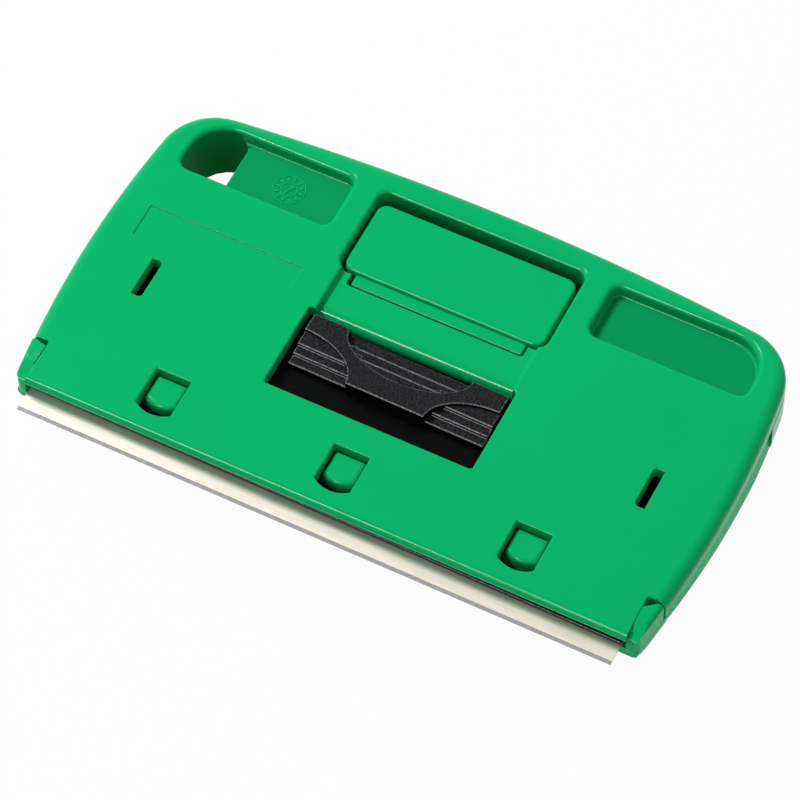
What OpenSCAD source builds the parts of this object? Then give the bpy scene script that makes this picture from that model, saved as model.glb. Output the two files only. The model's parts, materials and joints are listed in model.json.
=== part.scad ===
// Pocket scraper for glass: a moulded lower shell with a hinged cover, a steel blade on
// three posts, a blade guard moved by a thumb grip, and a push latch that holds the cover.
// Millimetres. The cutting edge faces -Y, the top faces +Z, and the origin lies on the
// ground under the middle of the whole tool.

/* [Housing] */
// Depth from the front face to the middle of the rear edge
body_d = 60; // [58:0.1:66]
// Overall height
body_h = 12; // [10:0.1:14]
// Distance from the front face back to the widest part
widest_d = 28.5; // [26:0.1:31]
// Radius of each curved side
side_r = 170; // [150:1:190]
// Radius of the curved rear edge
rear_r = 420; // [340:5:540]
// Radius of the two rear corners
corner_r = 9.5; // [8:0.1:10.5]
// Height of the cover above the seam between the two shells
cover_h = 4.1; // [3.8:0.1:4.4]
// Gap in the seam
seam_gap = 0.1; // [0.05:0.05:0.2]
// Wall thickness of both shells
wall = 2.2; // [1.8:0.1:2.6]
// Floor thickness of the lower shell
floor_t = 2; // [1.6:0.1:2.4]
// Rounding along the top edge
top_round = 2; // [1.4:0.1:2.4]
// Rounding along the bottom edge
bottom_round = 4; // [2:0.1:5]
// Distance over which the underside rises towards the front
slope_d = 22; // [18:0.5:24]
// Thickness of the lower shell at the front face
front_t = 1.7; // [1.2:0.1:2.4]
// Length of the side strips where the fingers hold, from front to back
strip_d = 36.5; // [30:0.5:40]
// Distance from the front face to the side strips
strip_front_d = 8.2; // [7:0.1:10]
// How far the side strips are set in
strip_inset = 0.4; // [0.2:0.1:0.8]

/* [Blade] */
// Length of the cutting edge
blade_w = 100; // [85:0.1:115]
// Width of the blade from edge to back
blade_d = 17.8; // [17:0.1:19]
// Blade thickness
blade_t = 0.35; // [0.25:0.05:0.5]
// How far the edge stands out of the front face
blade_reach = 3.2; // [2.5:0.1:3.4]
// Width of the ground bevel
bevel_d = 0.6; // [0.5:0.1:1.2]
// Gap between each end of the blade and the end of the lip
blade_end_gap = 0.5; // [0.5:0.05:0.8]
// Sideways play of the blade, taken up to one side
blade_play = 0.4; // [0:0.05:0.45]

/* [Posts] */
// Distance between the blade posts
post_pitch = 30.46; // [28:0.1:32]
// Width of a post
post_w = 5.4; // [4.5:0.1:6]
// Distance from the front face to the round nose of a post
post_front_d = 5.2; // [5:0.1:5.8]
// Length of a post from nose to back
post_d = 5; // [4.2:0.1:5.2]
// How far the nose bulges
post_bulge = 1; // [0.6:0.1:1.4]
// Drop of the post's top below the cover's top
post_drop = 1.2; // [0.8:0.1:1.8]

/* [Cover] */
// Distance from each end of the lip out to the widest part
ear_w = 4.15; // [3.9:0.05:4.6]
// Drop of the hinge axis below the middle of the lip
hinge_drop = 0.6; // [0.4:0.05:0.6]
// Radius of the hinge pins
pin_r = 0.5; // [0.4:0.05:0.5]
// Length of pin that stands out of the cover
pin_reach = 0.75; // [0.5:0.05:0.8]
// Length of pin that is pressed into the cover
pin_seat = 3; // [2:0.1:4]
// Radius of the round boss at each end of the lip
boss_r = 1.05; // [0.95:0.05:1.1]
// Gap beside a post in its window
post_side_gap = 0.25; // [0.2:0.05:0.4]
// Gap in front of a post in its window
post_front_gap = 2.05; // [1.6:0.05:2.3]
// Gap behind a post in its window
post_rear_gap = 0.55; // [0.4:0.05:1.2]
// Width of the thumb window
thumb_window_w = 35.2; // [34.6:0.1:36]
// Corner radius of the thumb window
thumb_window_r = 0.8; // [0.6:0.1:2]
// Distance of the two narrow slots from the widest part
slot_edge = 11.95; // [10:0.05:14]
// Width of the narrow slots
slot_w = 1.7; // [1.2:0.1:2.4]
// Length of the narrow slots
slot_d = 7.1; // [5:0.1:8]
// Distance from the front face to the narrow slots
slot_front_d = 21; // [19:0.1:22]
// Depth of the dished thumb rest behind the thumb window
dish_depth = 1.2; // [0.8:0.1:1.6]
// How much the dished thumb rest is narrower than the thumb window, at each end
dish_inset = 0.9; // [0.5:0.05:1.5]
// Distance from the rear edge to the recesses and the latch opening
rear_margin = 4.7; // [4.2:0.1:5.4]
// Distance from the middle to the near end of each recess
recess_x = 22.3; // [21.5:0.1:23]
// Distance from the far end of each recess to the widest part
recess_edge = 6.05; // [5.5:0.05:7]
// Length of each recess from front to back
recess_d = 9.8; // [8.5:0.1:10.5]
// Depth of each recess
recess_depth = 2.5; // [1.8:0.1:2.6]
// Small corner radius of each recess
recess_r = 1.5; // [1:0.1:1.6]
// Large corner radius of each recess, at the outer rear corner
recess_corner_r = 6; // [5:0.1:6]
// Thickness around and under the recesses
recess_t = 1.3; // [1:0.1:1.4]
// Width of the hanging hole at the outer end of the left recess
hang_w = 7.6; // [7.6:0.1:9]

/* [Guard and grip] */
// How much the blade guard is shorter than the blade, at each end
guard_inset = 0.4; // [0.2:0.1:1.5]
// Thickness of the blade guard
guard_t = 0.65; // [0.5:0.05:0.8]
// Distance from the front face to the guard's front edge, drawn back
guard_front_d = 0.7; // [0.4:0.1:1]
// Forward travel of the guard
guard_travel = 4.4; // [4:0.1:4.6]
// Gap between guard and cover
guard_gap = 0.8; // [0.8:0.05:1]
// Gap beside the thumb grip
grip_side_gap = 0.95; // [0.6:0.05:1.5]
// Gap in front of the thumb grip when it is pushed forward
grip_front_gap = 0.7; // [0.4:0.1:1]
// Gap behind the thumb grip when it is drawn back
grip_rear_gap = 0.8; // [0.5:0.1:1]
// Distance from the front face to the thumb grip, drawn back
grip_front_d = 20.9; // [20.7:0.1:21.2]
// Length of the thumb grip
grip_d = 9.3; // [8.8:0.1:9.5]
// Rise of each step in the grip's scoops
step_h = 0.6; // [0.4:0.05:0.7]
// Length of each step in the grip's scoops
step_d = 1.55; // [1.2:0.05:1.7]

/* [Latch] */
// Width of the push button
button_w = 34.2; // [31:0.1:34.4]
// Length of the push button
button_d = 13.5; // [12.8:0.1:13.6]
// Corner radius of the push button
button_r = 1.8; // [1:0.1:2.4]
// Thickness of the push button
button_t = 2; // [1.6:0.1:2.2]
// Drop of the push button below the cover's top
button_drop = 0.9; // [0.7:0.1:1.2]
// Gap beside the push button
button_gap = 0.65; // [0.5:0.05:0.8]
// Gap behind the push button, which it tilts into
button_rear_gap = 1.6; // [1.4:0.1:1.8]
// Gap in front of the push button
button_front_gap = 0.5; // [0.4:0.1:0.8]
// How much the catch ledge is narrower than the push button, at each end
ledge_inset = 2.5; // [2:0.05:4]
// How far the catch ledge stands forward
ledge_d = 2; // [1.8:0.1:2.3]
// Thickness of the catch ledge
ledge_t = 1.4; // [1:0.1:1.5]
// Step down from the push button to the catch ledge
ledge_step = 0.8; // [0.6:0.1:1]
// Gap around the catch ledge
ledge_gap = 0.5; // [0.4:0.05:0.7]
// Thickness of the latch's tongue
tongue_t = 1.6; // [1.2:0.1:2]
// Width of the latch's tongue
tongue_w = 21; // [16:0.5:24]
// Radius of the round foot that the latch turns on
foot_r = 1.2; // [1:0.05:1.3]

/* [Hidden] */
$fn = 48;

// Colours
green = [0.01, 0.66, 0.39];
black = [0.09, 0.09, 0.10];
steel = [0.80, 0.79, 0.76];

// Clearances, and the overrun of every cut
run_clear = 0.05;
slide_clear = 0.1;
post_clear = 0.3;
over = 1;

// Widths that follow from the blade
lip_w = blade_w + 2 * blade_end_gap;
body_w = lip_w + 2 * ear_w;
guard_w = blade_w - 2 * guard_inset;
grip_w = thumb_window_w - 2 * grip_side_gap;
dish_w = thumb_window_w - 2 * dish_inset;
ledge_w = button_w - 2 * ledge_inset;
post_window_w = post_w + 2 * post_side_gap;
slot_x = body_w / 2 - slot_edge;
recess_w = body_w / 2 - recess_edge - recess_x;

// Levels of the stack from the blade seat up to the cover
seam_h = body_h - cover_h;
slope_h = seam_h - front_t;
blade_top = seam_h + blade_t;
guard_bottom = blade_top + slide_clear;
guard_top = guard_bottom + guard_t;
under_h = guard_top + guard_gap;
lip_r = (body_h - under_h) / 2;
lip_h = under_h + lip_r;
hinge_h = lip_h - hinge_drop;
hinge_d = lip_r;
front_y = (blade_reach - body_d) / 2;

// Outline of the housing: side, corner and rear arcs that meet without a kink
side_c = [body_w / 2 - side_r, front_y + widest_d];
rear_c = [0, front_y + body_d - rear_r];
side_corner_r = side_r - corner_r;
rear_corner_r = rear_r - corner_r;
arcs_apart = norm(rear_c - side_c);
arcs_along = (rear_c - side_c) / arcs_apart;
arcs_across = [-arcs_along[1], arcs_along[0]];
foot_along = (side_corner_r * side_corner_r - rear_corner_r * rear_corner_r
    + arcs_apart * arcs_apart) / (2 * arcs_apart);
foot_across = sqrt(side_corner_r * side_corner_r - foot_along * foot_along);
corner_c = side_c + foot_along * arcs_along + foot_across * arcs_across;
side_end = atan2(corner_c[1] - side_c[1], corner_c[0] - side_c[0]);
corner_end = atan2(corner_c[1] - rear_c[1], corner_c[0] - rear_c[0]);
side_steps = 14;
corner_steps = 8;
rear_steps = 5;
round_steps = 5;

// Ears beside the front lip
ear_gap = 0.15;
ear_d = 7.2;
ear_crease_d = 3.5;
ear_drop = 0.9;
ear_round = 0.8;
ear_root = 2;
ear_notch_d = 7.7;

// Blade seat, guide rails and latch pivot inside the lower shell
seat_front_d = 0.4;
seat_land = 1.3;
seat_d = blade_d - blade_reach + seat_land;
rail_x = 24;
rail_t = 1.6;
rail_end_gap = 2.3;
foot_d = body_d - rear_margin - button_rear_gap - button_d / 2;
foot_gap = 0.3;
foot_h = floor_t + foot_gap + foot_r;
lug_t = 2.4;
lug_wall = 1;
lug_gap = 0.7;
lug_x = tongue_w / 2 + lug_gap + lug_t / 2;

// Thumb grip: shares of its width and length that shape the raised band
band_rear_share = 0.635;
band_front_share = 0.4;
band_side_share = 0.63;
band_scoop_share = 0.61;
grip_steps = 3;
scoop_steps = 10;

// Places that follow from the sizes above
rear_d = body_d - rear_margin;
post_window_front_d = post_front_d - post_front_gap;
post_window_d = post_front_gap + post_d + post_rear_gap;
grip_rear_d = grip_front_d + grip_d;
rail_end_d = grip_rear_d + rail_end_gap;
thumb_window_front_d = grip_front_d - guard_travel - grip_front_gap;
thumb_window_rear_d = grip_rear_d + grip_rear_gap;
button_rear_d = rear_d - button_rear_gap;
button_front_d = button_rear_d - button_d;
button_top = body_h - button_drop;
ledge_top = button_top - ledge_step;
opening_front_d = button_front_d - button_front_gap;
ledge_front_d = button_front_d - ledge_d;
notch_front_d = ledge_front_d - ledge_gap;
panel_t = body_h - under_h;
recess_floor = body_h - recess_depth;

// Y of a distance behind the front face
function at(d) = front_y + d;

// Points along an arc, counted from its first step
function arc(c, r, a0, a1, n, first = 0) =
    [for (i = [first:n]) let (a = a0 + (a1 - a0) * i / n) [c[0] + r * cos(a), c[1] + r * sin(a)]];

// Right half of the housing's outline, set in by a distance, from the front to the middle rear
function half_outline(inset, front_d) =
    let (front_a = asin((at(front_d) - side_c[1]) / (side_r - inset)))
    concat(
        arc(side_c, side_r - inset, front_a, side_end, side_steps),
        arc(corner_c, corner_r - inset, side_end, corner_end, corner_steps, 1),
        arc(rear_c, rear_r - inset, corner_end, 90, rear_steps, 1)
    );

// Whole outline, counter-clockwise
function outline(inset, front_d) =
    let (half = half_outline(inset, front_d), n = len(half))
    concat(half, [for (i = [n - 2:-1:0]) [-half[i][0], half[i][1]]]);

// Rectangle with a radius for each corner, counter-clockwise from the front left
function rounded(x0, y0, x1, y1, r) = concat(
    arc([x0 + r[0], y0 + r[0]], r[0], 180, 270, round_steps),
    arc([x1 - r[1], y0 + r[1]], r[1], 270, 360, round_steps),
    arc([x1 - r[2], y1 - r[2]], r[2], 0, 90, round_steps),
    arc([x0 + r[3], y1 - r[3]], r[3], 90, 180, round_steps)
);

// Straight-backed shape with a bulging front, as the posts and their windows have
function d_shape(x, w, front_d, d, bulge) =
    let (r = (w * w / 4 + bulge * bulge) / (2 * bulge), half = asin(w / (2 * r)))
    concat(
        [[x + w / 2, at(front_d + d)], [x - w / 2, at(front_d + d)]],
        arc([x, at(front_d) + r], r, 270 - half, 270 + half, 2 * round_steps)
    );

// Solid that joins outlines at rising heights; each ring is [inset, height]
module loft(rings, front_d) {
    n = len(outline(0, front_d));
    count = len(rings);
    polyhedron(
        points = [for (ring = rings) for (p = outline(ring[0], front_d)) [p[0], p[1], ring[1]]],
        faces = concat(
            [[for (i = [0:n - 1]) i]],
            [[for (i = [n - 1:-1:0]) (count - 1) * n + i]],
            [for (k = [0:count - 2]) for (i = [0:n - 1])
                let (j = (i + 1) % n) [k * n + i, (k + 1) * n + i, (k + 1) * n + j, k * n + j]]
        )
    );
}

// Upright solid of a flat outline between two heights
module prism(points, z0, z1) {
    translate([0, 0, z0])
        linear_extrude(z1 - z0)
            polygon(points);
}

// Box between two corners, given as distances behind the front face along Y
module block(x0, d0, z0, x1, d1, z1) {
    translate([x0, at(d0), z0])
        cube([x1 - x0, d1 - d0, z1 - z0]);
}

// Round bar along X, centred on x
module bar(x, d, z, r, length) {
    translate([x, at(d), z])
        rotate([0, 90, 0])
            cylinder(h = length, r = r, center = true);
}

// Solid with a side profile of [distance, height] points, centred along X
module side_profile(points, w) {
    translate([-w / 2, front_y, 0])
        rotate([90, 0, 90])
            linear_extrude(w)
                polygon(points);
}

// Side profile of the space under the rising front, raised by a distance
function under_front(up) = [
    [-over, -over], [slope_d, -over], [slope_d, up], [0, slope_h + up], [-over, slope_h + up]
];

// Outline of a recess on one side, grown by a distance; its outer rear corner is the round one
function recess(side, grow) =
    let (
        x0 = side > 0 ? recess_x : -recess_x - recess_w,
        r = recess_r + grow,
        far_r = recess_corner_r + grow
    )
    rounded(
        x0 - grow, at(rear_d - recess_d) - grow, x0 + recess_w + grow, at(rear_d) + grow,
        side > 0 ? [r, r, far_r, r] : [r, r, r, far_r]
    );

// Outline of the hanging hole, grown by a distance
function hang_hole(grow) =
    let (x0 = -recess_x - recess_w, r = recess_r + grow)
    rounded(
        x0 - grow, at(rear_d - recess_d) - grow, x0 + hang_w + grow, at(rear_d) + grow,
        [r, r, r, recess_corner_r + grow]
    );

// Outline of the opening around the push button, grown by a distance
module latch_opening(grow, z0, z1) {
    r = button_r + grow;
    half = button_w / 2 + button_gap + grow;
    notch_half = ledge_w / 2 + ledge_gap + grow;
    prism(rounded(-half, at(opening_front_d) - grow, half, at(rear_d) + grow, [r, r, r, r]), z0, z1);
    block(-notch_half, notch_front_d - grow, z0, notch_half, button_front_d, z1);
}

// The two ears that flank the front lip, with their sloping noses
module ears() {
    nose_h = body_h - ear_drop;
    profile = concat(
        [[ear_d, seam_h - ear_root], [ear_d, body_h], [ear_crease_d, body_h]],
        arc([ear_round, nose_h - ear_round], ear_round, 90, 180, round_steps),
        [[0, seam_h - ear_root]]
    );
    difference() {
        intersection() {
            prism(outline(0, 0), slope_h - ear_root, body_h);
            side_profile(profile, body_w);
        }
        block(-lip_w / 2 - ear_gap, -over, 0, lip_w / 2 + ear_gap, ear_d + over, body_h + over);
    }
}

// Lug that holds one end of the latch's foot
module latch_lug(x) {
    r = foot_r + run_clear + lug_wall;
    bar(x, foot_d, foot_h, r, lug_t);
    block(x - lug_t / 2, foot_d - r, floor_t / 2, x + lug_t / 2, foot_d + r, foot_h);
}

// Side strips, cut as a thin skin off the outline
module side_strips() {
    intersection() {
        difference() {
            prism(outline(-over, strip_front_d - over), bottom_round / 2, seam_h + over);
            prism(outline(strip_inset, strip_front_d - 2 * over), 0, seam_h + 2 * over);
        }
        block(-body_w, strip_front_d, 0, body_w, strip_front_d + strip_d, body_h);
    }
}

module lower_shell() {
    bottom_rings = concat(
        [for (i = [0:round_steps]) let (a = 90 * i / round_steps)
            [bottom_round * (1 - sin(a)), bottom_round * (1 - cos(a))]],
        [[0, seam_h]]
    );
    bore_length = pin_reach + 2 * run_clear;
    color(green)
    difference() {
        union() {
            difference() {
                union() {
                    difference() {
                        loft(bottom_rings, seat_front_d);
                        side_strips();
                    }
                    ears();
                }
                difference() {
                    prism(outline(wall, seat_d), floor_t, seam_h + over);
                    side_profile(under_front(floor_t), 2 * body_w);
                }
            }
            for (i = [-1:1])
                prism(
                    d_shape(i * post_pitch, post_w, post_front_d, post_d, post_bulge),
                    seam_h - floor_t, body_h - post_drop
                );
            for (s = [-1, 1]) {
                block(
                    s * rail_x - rail_t / 2, seat_d - over, floor_t / 2,
                    s * rail_x + rail_t / 2, rail_end_d, guard_bottom - slide_clear
                );
                latch_lug(s * lug_x);
            }
            prism(hang_hole(wall / 2), floor_t / 2, seam_h);
        }
        side_profile(under_front(0), 2 * body_w);
        prism(hang_hole(0), -over, seam_h + over);
        for (s = [-1, 1]) {
            bar(s * (lip_w / 2 + bore_length / 2), hinge_d, hinge_h, pin_r + run_clear, bore_length);
            bar(s * lug_x, foot_d, foot_h, foot_r + run_clear, lug_t + over);
        }
    }
}

module upper_shell() {
    rim = seam_h + seam_gap;
    top_rings = concat(
        [[0, rim]],
        [for (i = [0:round_steps]) let (a = 90 * i / round_steps)
            [top_round * (1 - cos(a)), body_h - top_round * (1 - sin(a))]]
    );
    dish_floor = body_h - dish_depth;
    boss_w = pin_seat + wall;
    color(green)
    difference() {
        union() {
            difference() {
                loft(top_rings, hinge_d);
                prism(outline(wall, hinge_d - over), rim - over, under_h);
                block(-body_w, -over, rim - over, body_w, ear_notch_d, under_h);
            }
            bar(0, hinge_d, lip_h, lip_r, lip_w);
            for (s = [-1, 1])
                bar(s * (lip_w - boss_w) / 2, hinge_d, hinge_h, boss_r, boss_w);
            for (s = [-1, 1])
                prism(recess(s, recess_t), recess_floor - recess_t, under_h + panel_t / 2);
            prism(hang_hole(wall / 2), rim, under_h + panel_t / 2);
            latch_opening(recess_t, recess_floor - recess_t, under_h + panel_t / 2);
            block(
                -dish_w / 2, thumb_window_rear_d, dish_floor - panel_t,
                dish_w / 2, opening_front_d, under_h + panel_t / 2
            );
        }
        for (i = [-1:1])
            prism(
                d_shape(i * post_pitch, post_window_w, post_window_front_d, post_window_d, post_bulge),
                rim, body_h + over
            );
        prism(
            rounded(
                -thumb_window_w / 2, at(thumb_window_front_d), thumb_window_w / 2, at(thumb_window_rear_d),
                [for (i = [0:3]) thumb_window_r]
            ),
            rim - over, body_h + over
        );
        for (s = [-1, 1]) {
            prism(
                rounded(
                    s * slot_x - slot_w / 2, at(slot_front_d), s * slot_x + slot_w / 2,
                    at(slot_front_d + slot_d), [for (i = [0:3]) slot_w / 3]
                ),
                rim, body_h + over
            );
            prism(recess(s, 0), recess_floor, body_h + over);
            block(
                s > 0 ? lip_w / 2 : -body_w, -over, rim - over,
                s > 0 ? body_w : -lip_w / 2, ear_notch_d, body_h + over
            );
            bar(s * (lip_w - pin_seat) / 2, hinge_d, hinge_h, pin_r, pin_seat);
        }
        block(
            -dish_w / 2, thumb_window_rear_d - over, dish_floor,
            dish_w / 2, opening_front_d, body_h + over
        );
        prism(hang_hole(0), rim - over, body_h + over);
        latch_opening(0, rim - over, body_h + over);
    }
}

// Hinge pin, pressed into the cover and turning in an ear
module hinge_pin(s) {
    length = pin_seat + pin_reach;
    color(steel)
        bar(s * (lip_w / 2 - pin_seat + length / 2), hinge_d, hinge_h, pin_r, length);
}

module hinge_pin_left() {
    hinge_pin(-1);
}

module hinge_pin_right() {
    hinge_pin(1);
}

module blade() {
    back_d = blade_d - blade_reach;
    profile = [
        [-blade_reach, seam_h + blade_t / 2],
        [bevel_d - blade_reach, seam_h],
        [back_d, seam_h],
        [back_d, blade_top],
        [bevel_d - blade_reach, blade_top]
    ];
    hole_clear = blade_play + slide_clear;
    color(steel)
    difference() {
        translate([-blade_play, 0, 0])
            side_profile(profile, blade_w);
        for (i = [-1:1])
            prism(
                d_shape(
                    i * post_pitch - blade_play, post_w + 2 * hole_clear, post_front_d - slide_clear,
                    post_d + 2 * slide_clear, post_bulge
                ),
                seam_h - over, blade_top + over
            );
    }
}

module blade_guard() {
    slot_length = post_d + guard_travel + 2 * post_clear;
    color(black)
    difference() {
        block(
            -guard_w / 2, guard_front_d, guard_bottom,
            guard_w / 2, grip_rear_d, guard_top
        );
        for (i = [-1:1])
            prism(
                d_shape(
                    i * post_pitch, post_w + 2 * post_clear, post_front_d - post_clear,
                    slot_length, post_bulge
                ),
                guard_bottom - over, guard_top + over
            );
    }
}

// Points of a quarter ellipse around a corner
function scoop(c, rx, ry, a0, a1) =
    [for (i = [0:scoop_steps])
        let (a = a0 + (a1 - a0) * i / scoop_steps) [c[0] + rx * cos(a), c[1] + ry * sin(a)]];

module thumb_grip() {
    half = grip_w / 2;
    front = at(grip_front_d);
    rear = at(grip_rear_d);
    side = front + band_side_share * grip_d;
    rear_x = band_rear_share * half;
    front_x = band_front_share * half;
    band = concat(
        [[half, rear]],
        scoop([0, rear], rear_x, band_scoop_share * grip_d, 0, -180),
        [[-half, rear]],
        scoop([-half, front], half - front_x, side - front, 90, 0),
        scoop([half, front], half - front_x, side - front, 180, 90)
    );
    color(black) {
        prism(band, guard_top, body_h);
        for (k = [1:grip_steps]) {
            top = body_h - k * step_h;
            set_back = (grip_steps - k) * step_d;
            for (s = [-1, 1])
                block(
                    s > 0 ? front_x : -half, grip_front_d + set_back + step_d / 5, guard_top,
                    s > 0 ? half : -front_x, grip_front_d + band_side_share * grip_d, top
                );
            block(
                -rear_x, grip_front_d + grip_d / 3, guard_top,
                rear_x, grip_rear_d - set_back, top
            );
        }
    }
}

module release_button() {
    half = button_w / 2;
    color(green) {
        prism(
            rounded(-half, at(button_front_d), half, at(button_rear_d), [for (i = [0:3]) button_r]),
            button_top - button_t, button_top
        );
        block(
            -ledge_w / 2, ledge_front_d, ledge_top - ledge_t,
            ledge_w / 2, button_front_d + button_r, ledge_top
        );
        block(
            -tongue_w / 2, foot_d - tongue_t / 2, foot_h,
            tongue_w / 2, foot_d + tongue_t / 2, button_top - button_t / 2
        );
        bar(0, foot_d, foot_h, foot_r, 2 * lug_x + lug_t + foot_r);
    }
}

lower_shell();
upper_shell();
hinge_pin_left();
hinge_pin_right();
blade();
blade_guard();
thumb_grip();
release_button();
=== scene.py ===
"""Pocket razor scraper: a green hinged housing, a blade, a black guard with its grip, and a push latch.

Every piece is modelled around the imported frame, in metres. Distances named d run back from the front face.
"""

import json
import math

import bmesh
import bpy
from bpy.props import FloatProperty, FloatVectorProperty, PointerProperty
from mathutils import Matrix, Vector


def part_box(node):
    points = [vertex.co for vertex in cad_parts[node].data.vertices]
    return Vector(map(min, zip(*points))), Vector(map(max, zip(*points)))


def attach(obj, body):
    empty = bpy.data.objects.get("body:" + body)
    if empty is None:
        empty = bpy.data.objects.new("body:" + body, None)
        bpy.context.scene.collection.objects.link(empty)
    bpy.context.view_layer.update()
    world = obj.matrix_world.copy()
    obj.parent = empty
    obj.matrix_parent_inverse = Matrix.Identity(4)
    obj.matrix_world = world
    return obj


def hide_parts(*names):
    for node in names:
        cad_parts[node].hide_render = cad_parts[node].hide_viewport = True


bl_info = {
    "name": "Pocket razor scraper",
    "version": (1, 0, 0),
    "blender": (4, 5, 0),
    "location": "View3D > Sidebar > Scraper",
    "description": "Models a wide pocket razor scraper piece by piece around its frame",
    "category": "Add Mesh",
}

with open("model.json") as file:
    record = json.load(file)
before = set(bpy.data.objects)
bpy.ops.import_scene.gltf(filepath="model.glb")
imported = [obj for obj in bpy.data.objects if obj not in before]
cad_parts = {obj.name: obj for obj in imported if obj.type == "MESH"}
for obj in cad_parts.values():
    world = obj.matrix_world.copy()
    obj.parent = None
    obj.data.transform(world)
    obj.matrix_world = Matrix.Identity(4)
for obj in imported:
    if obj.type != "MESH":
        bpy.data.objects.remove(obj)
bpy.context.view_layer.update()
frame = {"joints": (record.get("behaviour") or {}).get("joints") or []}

# Places that the frame gives
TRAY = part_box("lower_shell")
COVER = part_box("upper_shell")
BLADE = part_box("blade")
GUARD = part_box("blade_guard")
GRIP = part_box("thumb_grip")
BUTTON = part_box("release_button")
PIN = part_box("hinge_pin_right")
FRONT, REAR, TOP = TRAY[0].y, TRAY[1].y, COVER[1].z
RIM, SEAM = COVER[0].z, BLADE[0].z
HALF_W = COVER[1].x
PIN_R = (PIN[1].z - PIN[0].z) / 2
HINGE_Y, HINGE_Z = PIN[0].y + PIN_R, PIN[0].z + PIN_R

# Mesh detail
MM = 0.001
STEPS = 6
QUARTER = [math.pi / 2 * i / STEPS for i in range(STEPS + 1)]
SIDE_STEPS, CORNER_STEPS, REAR_STEPS = 30, 12, 16
ROD_STEPS = 48
SCOOP_STEPS = 12
SIDES = (-1, 1)
POSTS = (-1, 0, 1)
GRIP_STEPS = 3

# Overruns of cutters, and lengths too small to see
OVER = MM
FAR_OVER = 5 * OVER
TRAY_FOOT = -3 * OVER
ACROSS = 2 * HALF_W
NEAR = 0.001 * MM
WELD = 0.002 * MM
CREASE_LIFT = 0.01 * MM
SLIVER = 0.02 * MM
UNDERLAP = 0.03 * MM
EAR_SET_IN = 0.04 * MM

# Small gaps, corners and walls
BORE_GAP = 0.05 * MM
PIN_END_GAP = 0.1 * MM
HOLE_MARGIN = 0.1 * MM
SHARP_CORNER = 0.1 * MM
POST_HOLE_CORNER = 0.2 * MM
POST_CORNER = 0.3 * MM
PLATE_CORNER = 0.3 * MM
STEP_OVERLAP = 0.4 * MM
LUG_WALL = 1.05 * MM

# Shares of the sizes that they follow
LEFT_SLANT_SHARE = 1 / 3
PIN_CHAMFER_SHARE = 1 / 4
FIRST_STEP_SHARE = 1 / 5
STRIP_PLACE_SHARE = 0.9
RECESS_REAR_SPREAD = 1.3
OPENING_REAR_SPREAD = 2.2

# The mould dial: its count of ticks, its pointer's turn, and shares of its radius
DIAL_TICKS = 12
DIAL_POINTER_TURN = math.radians(-25)
DIAL_RING_SHARES = (0.97, 0.5)
DIAL_TICK_SHARES = (0.6, 0.86)
DIAL_POINTER_SHARES = (0.045, 0.4, 0.16)

# Parts of a face's normal that tell floors, walls, sides, ends and chamfers apart
CHAMFER_NORMAL = 0.95
FLOOR_NORMAL = 0.9
STRIP_NORMAL = 0.7
END_NORMAL = 0.5
WALL_NORMAL = 0.3
STEEP_NORMAL = 0.1


def size(name, description, millimetres):
    """A length that a user may change, given in millimetres and kept in metres."""
    return FloatProperty(
        name=name, description=description, default=millimetres * MM, unit="LENGTH", precision=5
    )


def colour(name, description, value):
    """A linear colour that a user may change."""
    return FloatVectorProperty(
        name=name, description=description, default=value, subtype="COLOR", size=3, min=0, max=1
    )


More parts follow.
